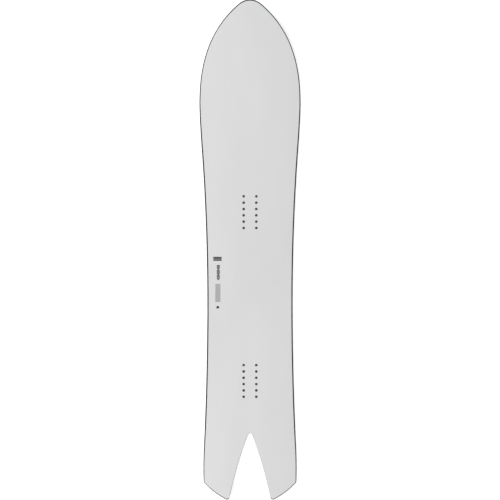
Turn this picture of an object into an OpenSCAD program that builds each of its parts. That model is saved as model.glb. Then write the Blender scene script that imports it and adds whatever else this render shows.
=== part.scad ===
// Directional swallow-tail snowboard without bindings, built as its real layers.
// Frame: +Y towards the nose, +X to the rider's right facing the nose, +Z up.
// The origin is on the base plane, on the centreline, midway between the insert packs.
// "Inset" is a distance inwards from the outline, seen from above.
// "Level" is a distance up from the running base, square to it.

/* [Outline] */
// Distance from the origin to the nose tip
nose_reach = 925.5; // [900:0.5:950]
// Half the width at the widest point of the nose
nose_half_w = 160.5; // [157:0.5:164]
// Half the width at the waist
waist_half_w = 135.4; // [133:0.1:138]
// Half the width at the widest point of the tail
tail_half_w = 147.8; // [145:0.1:150]
// Radius of the nose tip
tip_r = 57; // [50:1:65]
// Radius of the shoulder ahead of the widest point
shoulder_r = 400; // [350:5:450]
// Radius through the widest point of the nose
widest_r = 705; // [600:5:800]
// Radius that eases the nose into the sidecut
ease_r = 3700; // [3000:100:4500]
// Radius through the widest point of the tail
tail_r = 1160; // [1000:10:1300]
// Radius of the outer corner of each tail tip
tail_corner_r = 10; // [8:0.5:12]
// Radius of the slanted end of each tail tip
tail_end_r = 250; // [200:5:300]
// Radius of the inner corner of each tail tip
tail_point_r = 8; // [6:0.5:9]
// Radius at the root of the tail notch
notch_root_r = 7.3; // [6:0.1:9]

/* [Rise of the tips] */
// Where the nose starts to rise, along the board
nose_rise_y = 640; // [600:5:680]
// Radius of the nose's rise
nose_rise_r = 680; // [600:10:800]
// Where the tail starts to rise, behind the origin
tail_rise_y = 520; // [500:5:560]
// Radius of the tail's rise
tail_rise_r = 520; // [450:10:700]

/* [Layers] */
// Thickness of the running base
base_t = 1.3; // [1.1:0.1:1.6]
// Thickness of the bottom laminate inside the steel edges
lower_glass_t = 1; // [0.8:0.1:1.2]
// Thickness of the core between and under the inserts
core_mid_t = 6; // [5.6:0.1:7]
// Thickness of the core at the tips
core_tip_t = 2.2; // [1.8:0.1:3]
// Thickness of the top laminate
upper_glass_t = 0.7; // [0.5:0.1:1]
// Thickness of the topsheet
topsheet_t = 0.6; // [0.4:0.1:0.8]

/* [Edges and sidewalls] */
// Width of the steel edge seen from below
edge_w = 2; // [1.8:0.1:2.4]
// Inset of the steel edge's hidden flange
flange_reach = 7; // [6:0.5:8]
// Width of the sidewall and the nose spacer
sidewall_w = 12; // [10:0.5:14]
// Width of the liner along the notch
notch_liner_w = 10; // [8:0.5:12]
// How far the sidewall stands in from the steel edge
sidewall_step = 0.5; // [0.3:0.1:1]
// How far the bevel leans in where the core is thickest
bevel_lean = 3.8; // [2:0.1:4.2]

/* [Inserts] */
// Distance between the centres of the two insert packs
pack_spacing = 534; // [520:2:560]
// Distance between insert rows
row_pitch = 20; // [20:0.5:21]
// Distance between the two insert columns
column_pitch = 40; // [40:0.5:41]
// Rows in a pack
pack_rows = 6; // [4:2:6]
// Diameter of the insert's flange
insert_flange_d = 19; // [16:0.5:19.5]
// Diameter of the insert's barrel
insert_barrel_d = 9.6; // [9:0.1:10.5]
// Tapping diameter of the M6 thread
thread_bore_d = 5; // [4.9:0.05:5.1]
// Diameter of the holes through the topsheet
topsheet_hole_d = 8.6; // [6.4:0.1:9]

/* [Hidden] */

// Largest gap between a curve and the straight pieces that follow it
chord_gap = 0.08;
// Turns of the outline's arcs, in degrees, going clockwise from the nose tip
tip_turn = 36.5;
nose_turn = 33;
shoulder_turn = 15;
widest_turn = 8;
ease_turn = 1.7;
rear_turn = 2.75;
tail_turn = 5.2;
tail_corner_turn = 42.4;
tail_end_turn = 19.2;
notch_half_angle = 20.3;
notch_turn = 7.9;

// Headings where the arcs meet, in degrees clockwise from +X
nose_heading = tip_turn + nose_turn;
shoulder_heading = nose_heading + shoulder_turn;
sidecut_heading = shoulder_heading + widest_turn + ease_turn;
tail_heading = 90 - rear_turn + tail_turn;
tail_point_heading = tail_heading + tail_corner_turn + tail_end_turn;
notch_root_heading = 270 - notch_half_angle;
notch_heading = notch_root_heading + notch_turn;

// Radii worked out so that the outline meets the three widths and closes on the centreline
nose_r = (nose_half_w - tip_r * sin(tip_turn)
    - shoulder_r * (sin(shoulder_heading) - sin(nose_heading))
    - widest_r * (1 - sin(shoulder_heading))) / (sin(nose_heading) - sin(tip_turn));
ease_start = shoulder_heading + widest_turn;
sidecut_front_r = (nose_half_w - waist_half_w - widest_r * (1 - sin(ease_start))
    - ease_r * (sin(ease_start) - sin(sidecut_heading))) / (1 - sin(sidecut_heading));
sidecut_rear_r = (tail_half_w - waist_half_w) / (1 - cos(rear_turn)) - tail_r;
corner_end = tail_heading + tail_corner_turn;
tail_point_x = tail_half_w - tail_r * (1 - sin(tail_heading))
    + tail_corner_r * (sin(corner_end) - sin(tail_heading))
    + tail_end_r * (sin(tail_point_heading) - sin(corner_end))
    + tail_point_r * (sin(notch_heading) - sin(tail_point_heading));
notch_side_r = (tail_point_x + notch_root_r * sin(notch_root_heading))
    / (sin(notch_root_heading) - sin(notch_heading));

// Longest straight piece that follows an arc where the board rises, and where it only tapers
rise_piece = 12;
taper_piece = 28;

// [radius, turn, longest piece] of each arc: a positive turn bulges outwards, a negative one inwards
ARCS = [
    [tip_r, tip_turn, rise_piece],
    [nose_r, nose_turn, rise_piece],
    [shoulder_r, shoulder_turn, rise_piece],
    [widest_r, widest_turn, rise_piece],
    [ease_r, ease_turn, taper_piece],
    [sidecut_front_r, 90 - sidecut_heading, taper_piece],
    [sidecut_rear_r, -rear_turn, taper_piece],
    [tail_r, tail_turn, rise_piece],
    [tail_corner_r, tail_corner_turn, rise_piece],
    [tail_end_r, tail_end_turn, rise_piece],
    [tail_point_r, notch_heading - tail_point_heading, rise_piece],
    [notch_side_r, -notch_turn, rise_piece],
    [notch_root_r, 180 - notch_root_heading, rise_piece]
];
// Arcs where one piece of the rim hands over to the next
SIDEWALL_ARC = 3;
TAIL_END_ARC = 8;
NOTCH_ARC = 11;

function along_arc(r, h, turn) = sign(turn) * r * [sin(h + turn) - sin(h), cos(h + turn) - cos(h)];
// How many straight pieces follow an arc
function pieces_of(arc) = max(
    3,
    ceil(abs(arc[1]) / (2 * acos(1 - chord_gap / arc[0]))),
    ceil(abs(arc[1]) * PI / 180 * arc[0] / arc[2])
);

// [start point, start heading] of each arc, and of the end of the last one
STARTS = [
    for (i = 0, p = [0, nose_reach], h = 0;
        i <= len(ARCS);
        p = i < len(ARCS) ? p + along_arc(ARCS[i][0], h, ARCS[i][1]) : p,
        h = i < len(ARCS) ? h + ARCS[i][1] : h,
        i = i + 1)
        [p, h]
];
// Stations down the right-hand outline, from the nose tip to the root of the notch
STATIONS = [
    for (i = [0:len(ARCS) - 1], k = [0:pieces_of(ARCS[i]) - 1])
        let (turn = ARCS[i][1] * k / pieces_of(ARCS[i]), h = STARTS[i][1])
            [STARTS[i][0] + along_arc(ARCS[i][0], h, turn == 0 ? 1e-9 * sign(ARCS[i][1]) : turn), h + turn],
    STARTS[len(ARCS)]
];
function stations_before(arc, i = 0) = i == arc ? 0 : pieces_of(ARCS[i]) + stations_before(arc, i + 1);
SIDEWALL_FROM = stations_before(SIDEWALL_ARC);
TAIL_END_FROM = stations_before(TAIL_END_ARC);
NOTCH_FROM = stations_before(NOTCH_ARC);
LAST = len(STATIONS) - 1;

// A station's point, moved in from the outline: the first and last stay on the centreline
function inset_point(i, inset) =
    let (p = STATIONS[i][0], h = STATIONS[i][1])
        [i == 0 || i == LAST ? 0 : p[0] - inset * sin(h), p[1] - inset * cos(h)];
function inset_run(first, last, inset) = [for (i = [first:last]) inset_point(i, inset)];
// A closed outline from its right-hand half, which starts and ends on the centreline
function both_halves(half) = concat(half, [for (i = [len(half) - 2:-1:1]) [-half[i][0], half[i][1]]]);

// Levels, from the running base up
lower_glass_top = base_t + lower_glass_t;
// Level of the top of the steel edge, where the laminate laps over it
edge_top = lower_glass_top - 0.35;
// Thickness of the steel edge's flange, of the foil on it and of the adhesive between the rim's pieces
flange_t = 0.4;
foil_t = 0.11;
glue_line = 0.05;
// Level of the top of the insert barrels, flush with the top of the upper laminate
barrel_top = lower_glass_top + core_mid_t + upper_glass_t;
// Thickness of the insert's flange, and of the floor below its blind bore
insert_flange_t = 1;
bore_floor_t = 1.1;
// Thickness of the mat over each insert pack, and how far it reaches past the outer rows
mat_t = 0.3;
mat_reach = 15;
// Distances from the centreline where the core strips meet
STRIP_EDGES = [6, 34, 62, 90, nose_half_w];
// How far the cutting tools reach past the layers they cut
clear_cut = 5;
// Insets of the top layers along the tail's end and the notch, and of the topsheet from the top laminate
tail_end_inset = 2.4;
notch_inset = 1;
topsheet_inset = 0.3;

tail_reach = -STARTS[NOTCH_ARC - 1][0][1];
mat_half_w = STRIP_EDGES[1];
mat_half_l = (pack_rows - 1) * row_pitch / 2 + mat_reach;
// How far from the origin the board keeps its full thickness
pack_reach = pack_spacing / 2 + mat_half_l;

// Share of the way from the insert mats to the tip, eased at both ends
function taper(y) =
    let (far = y > 0 ? nose_reach : tail_reach, u = (abs(y) - pack_reach) / (far - pack_reach))
        u <= 0 ? 0 : (1 - cos(180 * min(u, 1))) / 2;
function core_t(y) = core_mid_t + (core_tip_t - core_mid_t) * taper(y);
function core_top(y) = lower_glass_top + core_t(y);
// Inset of the top of the bevelled sidewall, which shrinks as the board thins
function rim_inset(y) = sidewall_step + bevel_lean * pow(core_t(y) / core_mid_t, 0.7);

// Height above the base plane of a level, at a place along the board
function height(y, level) =
    y > nose_rise_y ? nose_rise_r - sqrt(pow(nose_rise_r - level, 2) - pow(y - nose_rise_y, 2))
    : y < -tail_rise_y ? tail_rise_r - sqrt(pow(tail_rise_r - level, 2) - pow(y + tail_rise_y, 2))
    : level;

// Places along the board where a layer's side view has a corner
function spread(low, high, step) =
    let (n = ceil((high - low) / step)) [for (k = [0:n - 1]) low + (high - low) * k / n];
PLACES = concat(
    spread(-tail_reach - clear_cut, -tail_rise_y, rise_piece),
    spread(-tail_rise_y, -pack_reach, taper_piece),
    [-pack_reach],
    spread(pack_reach, nose_rise_y, taper_piece),
    spread(nose_rise_y, nose_reach + clear_cut, rise_piece),
    [nose_reach + clear_cut]
);

// The slab between two levels: low and high hold the level at each place
module slab(low, high) {
    outline = concat(
        [for (i = [0:len(PLACES) - 1]) [PLACES[i], height(PLACES[i], low[i])]],
        [for (i = [len(PLACES) - 1:-1:0]) [PLACES[i], height(PLACES[i], high[i])]]
    );
    rotate([90, 0, 90])
        linear_extrude(height = 2 * (nose_half_w + clear_cut), center = true)
            polygon(outline);
}
function flat_level(level) = [for (y = PLACES) level];
function core_level(extra) = [for (y = PLACES) core_top(y) + extra];

// A column of the given outline, tall enough to cut through every layer
column_h = height(nose_reach, barrel_top) + 4 * clear_cut;
module column(outline) {
    translate([0, 0, -clear_cut])
        linear_extrude(height = column_h)
            polygon(outline);
}

// The rim's cross-section carried along a run of stations: rings is a list of equal rings of points
module sweep(rings) {
    n = len(rings[0]);
    last = len(rings) - 1;
    sides = [
        for (i = [0:last - 1], j = [0:n - 1])
            let (a = i * n + j, b = i * n + (j + 1) % n)
                each [[a, b, a + n], [b, b + n, a + n]]
    ];
    ends = [
        [for (j = [n - 1:-1:0]) j],
        [for (j = [0:n - 1]) last * n + j]
    ];
    polyhedron(points = [for (ring = rings) each ring], faces = concat(sides, ends), convexity = 6);
}
function rim_point(i, inset, level) = let (p = inset_point(i, inset)) [p[0], p[1], height(p[1], level)];
function mirrored(ring) = [for (p = ring) [-p[0], p[1], p[2]]];

function edge_ring(i) = [
    rim_point(i, 0, 0),
    rim_point(i, edge_w, 0),
    rim_point(i, edge_w, base_t + glue_line),
    rim_point(i, flange_reach, base_t + glue_line),
    rim_point(i, flange_reach, base_t + glue_line + flange_t),
    rim_point(i, edge_w, base_t + glue_line + flange_t),
    rim_point(i, edge_w, edge_top - glue_line),
    rim_point(i, 0, edge_top - glue_line)
];
function foil_ring(i) =
    let (low = base_t + flange_t + 2 * glue_line, inner = edge_w + glue_line)
        [
            rim_point(i, inner, low),
            rim_point(i, flange_reach, low),
            rim_point(i, flange_reach, low + foil_t),
            rim_point(i, inner, low + foil_t)
        ];
// A rim point between the two laminates: share 0 is on the lower one, share 1 is under the upper one
function wall_point(i, inset, share) =
    let (low = lower_glass_top + glue_line, high = core_top(inset_point(i, inset)[1]) - glue_line)
        rim_point(i, inset, low + share * (high - low));
function wall_ring(i) = [
    wall_point(i, sidewall_step, 0),
    wall_point(i, sidewall_w, 0),
    wall_point(i, sidewall_w, 1),
    wall_point(i, rim_inset(STATIONS[i][0][1]), 1),
    wall_point(i, sidewall_step, 0.3)
];
function liner_ring(i) = [
    wall_point(i, sidewall_step, 0),
    wall_point(i, notch_liner_w, 0),
    wall_point(i, notch_liner_w, 1),
    wall_point(i, notch_inset, 1)
];

// Outline of the running base: inside the steel edges and the tail protectors
BASE_OUTLINE = both_halves(concat(
    inset_run(0, TAIL_END_FROM, edge_w), inset_run(NOTCH_FROM, LAST, 0)));
// Outline of the laminate where it sits inside the edge flanges
INNER_GLASS_OUTLINE = both_halves(concat(
    inset_run(0, TAIL_END_FROM, flange_reach + 4 * glue_line),
    inset_run(TAIL_END_FROM, LAST, sidewall_step)));
WOOD_OUTLINE = both_halves(concat(
    inset_run(0, TAIL_END_FROM, sidewall_w), inset_run(NOTCH_FROM, LAST, notch_liner_w)));
TAIL_BLOCK_OUTLINE = concat(
    inset_run(TAIL_END_FROM, NOTCH_FROM, sidewall_step),
    [inset_point(NOTCH_FROM, notch_liner_w), inset_point(TAIL_END_FROM, sidewall_w)]
);
TAIL_PROTECTOR_OUTLINE = concat(
    inset_run(TAIL_END_FROM, NOTCH_FROM, 0), [inset_point(TAIL_END_FROM, edge_w)]);
// Outline of a top layer, set in from the top of the rim's bevel
function top_outline(extra) = both_halves([
    for (i = [0:LAST])
        let (rim = rim_inset(STATIONS[i][0][1]))
            inset_point(i, extra + (i < TAIL_END_FROM ? rim : i < NOTCH_FROM ? tail_end_inset : notch_inset))
]);

// Places of the inserts in the pack whose centre is at pack_y
function pack_places(pack_y) = [
    for (side = [-1, 1], k = [0:pack_rows - 1])
        [side * column_pitch / 2, pack_y + (k - (pack_rows - 1) / 2) * row_pitch]
];
PACKS = [pack_spacing / 2, -pack_spacing / 2];

module insert_holes(d, low, high) {
    for (pack_y = PACKS, place = pack_places(pack_y))
        translate([place[0], place[1], low])
            cylinder(h = high - low, d = d, $fn = 48);
}

module mat_slab(pack_y) {
    translate([-mat_half_w, pack_y - mat_half_l, barrel_top - upper_glass_t - mat_t])
        cube([2 * mat_half_w, 2 * mat_half_l, mat_t]);
}

// One strip of the wood core, between two distances from the centreline
module core_strip(inner, outer) {
    difference() {
        intersection() {
            slab(flat_level(lower_glass_top), core_level(0));
            column(WOOD_OUTLINE);
            translate([inner, -nose_reach, -clear_cut])
                cube([outer - inner, 2 * nose_reach, column_h]);
        }
        if (outer > column_pitch / 2 - insert_flange_d / 2 && inner < column_pitch / 2) {
            insert_holes(insert_barrel_d, 0, barrel_top);
            insert_holes(insert_flange_d, 0, lower_glass_top + insert_flange_t);
        }
        if (inner < mat_half_w)
            for (pack_y = PACKS)
                mat_slab(pack_y);
    }
}

// One pack of threaded inserts: a flange under the core and a blind tapped barrel
module insert_pack(pack_y) {
    for (place = pack_places(pack_y))
        translate([place[0], place[1], lower_glass_top])
            difference() {
                union() {
                    cylinder(h = insert_flange_t, d = insert_flange_d, $fn = 48);
                    cylinder(h = barrel_top - lower_glass_top, d = insert_barrel_d, $fn = 48);
                }
                translate([0, 0, bore_floor_t])
                    cylinder(h = barrel_top, d = thread_bore_d, $fn = 48);
            }
}

module insert_mat(pack_y) {
    difference() {
        mat_slab(pack_y);
        insert_holes(insert_barrel_d, 0, 2 * barrel_top);
    }
}

module steel_edge() {
    sweep([for (i = [0:TAIL_END_FROM]) edge_ring(i)]);
}

module edge_foil() {
    sweep([for (i = [0:TAIL_END_FROM]) foil_ring(i)]);
}

module sidewall() {
    sweep([for (i = [SIDEWALL_FROM:TAIL_END_FROM]) wall_ring(i)]);
}

module notch_liner() {
    sweep([for (i = [NOTCH_FROM:LAST]) liner_ring(i)]);
}

module tail_block() {
    intersection() {
        slab(flat_level(lower_glass_top), core_level(0));
        column(TAIL_BLOCK_OUTLINE);
    }
}

module tail_protector() {
    intersection() {
        slab(flat_level(0), flat_level(base_t));
        column(TAIL_PROTECTOR_OUTLINE);
    }
}

module base() {
    color([0.757, 0, 0.031])
        intersection() {
            slab(flat_level(0), flat_level(base_t));
            column(BASE_OUTLINE);
        }
}

module steel_edge_left() {
    color([0.47, 0.47, 0.48])
        mirror([1, 0, 0])
            steel_edge();
}

module steel_edge_right() {
    color([0.47, 0.47, 0.48])
        steel_edge();
}

module edge_foil_left() {
    color([0.12, 0.12, 0.12])
        mirror([1, 0, 0])
            edge_foil();
}

module edge_foil_right() {
    color([0.12, 0.12, 0.12])
        edge_foil();
}

module tail_protector_left() {
    color([0.72, 0.72, 0.7])
        mirror([1, 0, 0])
            tail_protector();
}

module tail_protector_right() {
    color([0.72, 0.72, 0.7])
        tail_protector();
}

module bottom_laminate() {
    color([0.51, 0.53, 0.47])
        union() {
            intersection() {
                slab(flat_level(edge_top), flat_level(lower_glass_top));
                column(both_halves(inset_run(0, LAST, sidewall_step)));
            }
            intersection() {
                slab(flat_level(base_t), flat_level(edge_top));
                column(INNER_GLASS_OUTLINE);
            }
        }
}

module core_centre_stringer() {
    color([0.72, 0.55, 0.36])
        core_strip(-STRIP_EDGES[0], STRIP_EDGES[0]);
}

module core_insert_stringer_left() {
    color([0.78, 0.63, 0.43])
        mirror([1, 0, 0])
            core_strip(STRIP_EDGES[0], STRIP_EDGES[1]);
}

module core_insert_stringer_right() {
    color([0.78, 0.63, 0.43])
        core_strip(STRIP_EDGES[0], STRIP_EDGES[1]);
}

module core_inner_strip_left() {
    color([0.87, 0.76, 0.57])
        mirror([1, 0, 0])
            core_strip(STRIP_EDGES[1], STRIP_EDGES[2]);
}

module core_inner_strip_right() {
    color([0.87, 0.76, 0.57])
        core_strip(STRIP_EDGES[1], STRIP_EDGES[2]);
}

module core_middle_strip_left() {
    color([0.9, 0.8, 0.62])
        mirror([1, 0, 0])
            core_strip(STRIP_EDGES[2], STRIP_EDGES[3]);
}

module core_middle_strip_right() {
    color([0.9, 0.8, 0.62])
        core_strip(STRIP_EDGES[2], STRIP_EDGES[3]);
}

module core_outer_strip_left() {
    color([0.87, 0.76, 0.57])
        mirror([1, 0, 0])
            core_strip(STRIP_EDGES[3], STRIP_EDGES[4]);
}

module core_outer_strip_right() {
    color([0.87, 0.76, 0.57])
        core_strip(STRIP_EDGES[3], STRIP_EDGES[4]);
}

module sidewall_left() {
    color([0.2, 0.2, 0.2])
        mirror([1, 0, 0])
            sidewall();
}

module sidewall_right() {
    color([0.2, 0.2, 0.2])
        sidewall();
}

module nose_spacer() {
    color([0.2, 0.2, 0.2])
        sweep(concat(
            [for (i = [SIDEWALL_FROM:-1:1]) mirrored(wall_ring(i))],
            [for (i = [0:SIDEWALL_FROM]) wall_ring(i)]
        ));
}

module tail_block_left() {
    color([0.35, 0.35, 0.36])
        mirror([1, 0, 0])
            tail_block();
}

module tail_block_right() {
    color([0.35, 0.35, 0.36])
        tail_block();
}

module notch_liner_left() {
    color([0.62, 0.62, 0.63])
        mirror([1, 0, 0])
            notch_liner();
}

module notch_liner_right() {
    color([0.62, 0.62, 0.63])
        notch_liner();
}

module inserts_front() {
    color([0.41, 0.41, 0.41])
        insert_pack(PACKS[0]);
}

module inserts_rear() {
    color([0.41, 0.41, 0.41])
        insert_pack(PACKS[1]);
}

module insert_mat_front() {
    color([0.82, 0.84, 0.78])
        insert_mat(PACKS[0]);
}

module insert_mat_rear() {
    color([0.82, 0.84, 0.78])
        insert_mat(PACKS[1]);
}

module top_laminate() {
    color([0.51, 0.53, 0.47])
        difference() {
            intersection() {
                slab(core_level(0), core_level(upper_glass_t));
                column(top_outline(0));
            }
            insert_holes(insert_barrel_d, 0, 2 * barrel_top);
        }
}

module topsheet() {
    color([0.87, 0.87, 0.87])
        difference() {
            intersection() {
                slab(core_level(upper_glass_t), core_level(upper_glass_t + topsheet_t));
                column(top_outline(0.3));
            }
            insert_holes(topsheet_hole_d, 0, 2 * barrel_top);
        }
}

base();
steel_edge_left();
steel_edge_right();
edge_foil_left();
edge_foil_right();
tail_protector_left();
tail_protector_right();
bottom_laminate();
core_centre_stringer();
core_insert_stringer_left();
core_insert_stringer_right();
core_inner_strip_left();
core_inner_strip_right();
core_middle_strip_left();
core_middle_strip_right();
core_outer_strip_left();
core_outer_strip_right();
sidewall_left();
sidewall_right();
nose_spacer();
tail_block_left();
tail_block_right();
notch_liner_left();
notch_liner_right();
inserts_front();
inserts_rear();
insert_mat_front();
insert_mat_rear();
top_laminate();
topsheet();
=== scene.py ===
"""Looks of a swallow-tail snowboard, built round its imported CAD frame.

Shapes are worked out in millimetres from the frame and turned into metres when a mesh is made.
"Inset" is a distance inwards from the outline seen from above. "Level" is a distance up from the running
base, square to it, so a layer keeps its levels where the tips rise.
"""

import math

import bmesh
import bpy
import numpy as np
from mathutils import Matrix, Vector, geometry, kdtree


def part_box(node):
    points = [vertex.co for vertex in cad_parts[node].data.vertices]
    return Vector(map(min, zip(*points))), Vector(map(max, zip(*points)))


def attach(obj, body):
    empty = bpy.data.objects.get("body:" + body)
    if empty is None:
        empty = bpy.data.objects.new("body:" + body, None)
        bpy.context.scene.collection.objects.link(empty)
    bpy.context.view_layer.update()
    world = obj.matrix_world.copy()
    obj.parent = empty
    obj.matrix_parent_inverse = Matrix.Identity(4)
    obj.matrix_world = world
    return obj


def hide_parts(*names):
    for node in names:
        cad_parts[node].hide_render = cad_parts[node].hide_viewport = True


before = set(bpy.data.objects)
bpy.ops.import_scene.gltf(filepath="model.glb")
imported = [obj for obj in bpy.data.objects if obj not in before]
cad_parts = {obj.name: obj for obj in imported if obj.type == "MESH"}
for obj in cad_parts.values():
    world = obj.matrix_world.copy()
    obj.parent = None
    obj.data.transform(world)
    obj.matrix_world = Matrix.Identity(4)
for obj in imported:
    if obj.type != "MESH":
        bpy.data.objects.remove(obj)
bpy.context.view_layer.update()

MM = 0.001

# ---------------------------------------------------------------- reading the frame


def node_points(node):
    """A CAD node's vertices."""
    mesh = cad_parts[node].data
    flat = np.zeros(3 * len(mesh.vertices), np.float32)
    mesh.vertices.foreach_get("co", flat)
    return flat.reshape(-1, 3).astype(float) / MM


def same_place(points, reach=0.02):
    """For each point seen from above, the number of the first point within reach of it."""
    tree = kdtree.KDTree(len(points))
    for i, p in enumerate(points):
        tree.insert((p[0], p[1], 0), i)
    tree.balance()
    return [min(hit[1] for hit in tree.find_range((p[0], p[1], 0), reach)) for p in points]


def wall_loop(node, least_turn=math.radians(0.03)):
    """Corners of the right half of a node's outline, from the nose tip to the root of the notch."""
    points = node_points(node)[:, :2]
    first = same_place(points)
    beside = {}
    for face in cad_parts[node].data.polygons:
        if abs(face.normal.z) > 0.01:
            continue
        ids = [first[v] for v in face.vertices]
        for a, b in zip(ids, ids[1:] + ids[:1]):
            if a != b:
                beside.setdefault(a, set()).add(b)
                beside.setdefault(b, set()).add(a)
    here = max(beside, key=lambda i: (round(points[i][1], 2), -abs(points[i][0])))
    walk, heading = [here], np.array([1.0, 0.0])
    while len(walk) < 3 or points[here][0] > 0.005:
        steps = {i: points[i] - points[here] for i in beside[here]}
        ahead = [i for i, step in steps.items() if step @ heading > 0.5 * np.linalg.norm(step)]
        nearest = min(ahead, key=lambda i: np.linalg.norm(steps[i]))
        heading = steps[nearest] / np.linalg.norm(steps[nearest])
        here = nearest
        walk.append(here)
    run = points[walk]
    before, after = run[1:-1] - run[:-2], run[2:] - run[1:-1]
    turn = np.abs(before[:, 0] * after[:, 1] - before[:, 1] * after[:, 0])
    turn /= np.linalg.norm(before, axis=1) * np.linalg.norm(after, axis=1)
    return run[np.concatenate([[True], turn > least_turn, [True]])]


def distinct(values, gap=0.02):
    """The different values in a list, smallest first."""
    found = []
    for value in sorted(values):
        if not found or value - found[-1] > gap:
            found.append(value)
    return found


def flat_levels(node, reach=200):
    """Levels of a node's faces where the board is flat."""
    points = node_points(node)
    return distinct(points[np.abs(points[:, 1]) < reach, 2])


def tip_insets(node):
    """Insets of a node's corners, read at the nose tip."""
    points = node_points(node)
    return distinct(NOSE_TIP - points[(np.abs(points[:, 0]) < 0.01) & (points[:, 1] > 0), 1])


def rise_circle(points):
    """Centre (y, z) of the circle through side-view points."""
    rows = np.column_stack([2 * points, np.ones(len(points))])
    return np.linalg.lstsq(rows, (points**2).sum(axis=1), rcond=None)[0][:2]


def lower_edge(node, trim=1):
    """Side-view points (y, z) along the lower edge of a core strip's inner side."""
    points = node_points(node)
    side = points[np.abs(points[:, 0] - points[:, 0].min()) < 0.01]
    places = np.unique(side[:, 1].round(1))
    low = [side[np.abs(side[:, 1] - y) < 0.1, 2].min() for y in places]
    return np.column_stack([places, low])[trim:-trim]


# ---------------------------------------------------------------- the board's shape

NOSE_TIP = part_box("steel_edge_right")[1].y / MM
STEP_IN = NOSE_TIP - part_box("bottom_laminate")[1].y / MM


def cad_stations():
    """Outline points, inward directions and top laminate insets at the CAD outline's own stations."""
    low, high = wall_loop("bottom_laminate"), wall_loop("top_laminate")
    assert len(low) == len(high), "the two laminates' outlines have different corners"
    inward = high - low
    reach = np.linalg.norm(inward, axis=1)
    inward /= reach[:, None]
    return low - STEP_IN * inward, inward, reach + STEP_IN


PLAIN_XY, PLAIN_IN, PLAIN_RIM = cad_stations()


def dense_stations(longest=4.0, widest=math.radians(3)):
    """The same outline with its arcs filled in: points, inward directions and station numbers."""
    headings = np.unwrap(np.arctan2(-PLAIN_IN[:, 0], -PLAIN_IN[:, 1]))
    places, turned, numbers = [], [], []
    for i in range(len(PLAIN_XY) - 1):
        chord = PLAIN_XY[i + 1] - PLAIN_XY[i]
        turn = headings[i + 1] - headings[i]
        count = max(1, math.ceil(np.linalg.norm(chord) / longest), math.ceil(abs(turn) / widest))
        radius = np.linalg.norm(chord) / (2 * math.sin(turn / 2))
        for k in range(count):
            h0, h = headings[i], headings[i] + turn * k / count
            step = np.array([math.sin(h) - math.sin(h0), math.cos(h) - math.cos(h0)])
            places.append(PLAIN_XY[i] + radius * step)
            turned.append(h)
            numbers.append(i + k / count)
    places.append(PLAIN_XY[-1])
    turned.append(headings[-1])
    numbers.append(len(PLAIN_XY) - 1)
    turned = np.array(turned)
    return np.array(places), -np.column_stack([np.sin(turned), np.cos(turned)]), np.array(numbers)


XY, INWARD, NUMBER = dense_stations()
RIM = np.interp(NUMBER, np.arange(len(PLAIN_RIM)), PLAIN_RIM)


def station_at(y, inset, behind_tail_tip=False):
    """The dense station of the CAD station whose inset point lies at y."""
    miss = np.abs(PLAIN_XY[:, 1] + inset * PLAIN_IN[:, 1] - y)
    tail_tip = int(np.argmin(PLAIN_XY[:, 1]))
    wanted = np.arange(len(miss)) > tail_tip if behind_tail_tip else np.arange(len(miss)) <= tail_tip
    return int(np.argmin(np.abs(NUMBER - int(np.argmin(np.where(wanted, miss, 1e9))))))


WALL_FROM = station_at(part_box("sidewall_right")[1].y / MM, STEP_IN)
END_FROM = station_at(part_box("steel_edge_right")[0].y / MM, 0)
NOTCH_FROM = station_at(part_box("notch_liner_right")[0].y / MM, STEP_IN, behind_tail_tip=True)
LAST = len(XY) - 1

# Places well inside the two rises, from which their circles are read
IN_NOSE_RISE = 650
IN_TAIL_RISE = -530
PROFILE = lower_edge("core_middle_strip_right")
NOSE_Y, NOSE_R = rise_circle(PROFILE[PROFILE[:, 0] > IN_NOSE_RISE])
TAIL_Y, TAIL_R = rise_circle(PROFILE[PROFILE[:, 0] < IN_TAIL_RISE])


def nose_level(y, z):
    """The level of a side-view point in the nose."""
    return NOSE_R - math.hypot(y - NOSE_Y, NOSE_R - z)


BASE_LOW, BASE_TOP = flat_levels("base")
GLASS_LOW, LAP, GLASS_TOP = flat_levels("bottom_laminate")
CORE_TOP, UPPER_GLASS_TOP = flat_levels("top_laminate")
TOPSHEET_TOP = flat_levels("topsheet")[-1]
EDGE_LEVELS = flat_levels("steel_edge_right")
WALL_LOW, WALL_BEND, WALL_HIGH = flat_levels("sidewall_right")
EDGE_INSETS = tip_insets("steel_edge_right")
BEND = (WALL_BEND - WALL_LOW) / (WALL_HIGH - WALL_LOW)
NOTCH_FOOT = 0.06
GLASS_IN = tip_insets("bottom_laminate")[-1]
WALL_W = tip_insets("nose_spacer")[-1]
FOOT = np.where(np.arange(len(XY)) > NOTCH_FROM, NOTCH_FOOT, STEP_IN)
LINER_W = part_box("notch_liner_right")[1].y / MM - XY[LAST, 1]
THICK_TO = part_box("insert_mat_front")[1].y / MM
TAIL_TIP = XY[:, 1].min()
tip_points = node_points("top_laminate")
tip_points = tip_points[tip_points[:, 1] > tip_points[:, 1].max() - 0.01]
TIP_TOP = nose_level(tip_points[0, 1], tip_points[:, 2].min())


def thinned(y):
    """How much thinner the core is than between the insert packs."""
    y = np.asarray(y, float)
    share = (np.abs(y) - THICK_TO) / (np.where(y > 0, NOSE_TIP, -TAIL_TIP) - THICK_TO)
    return (CORE_TOP - TIP_TOP) * (1 - np.cos(np.pi * np.clip(share, 0, 1))) / 2


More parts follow.
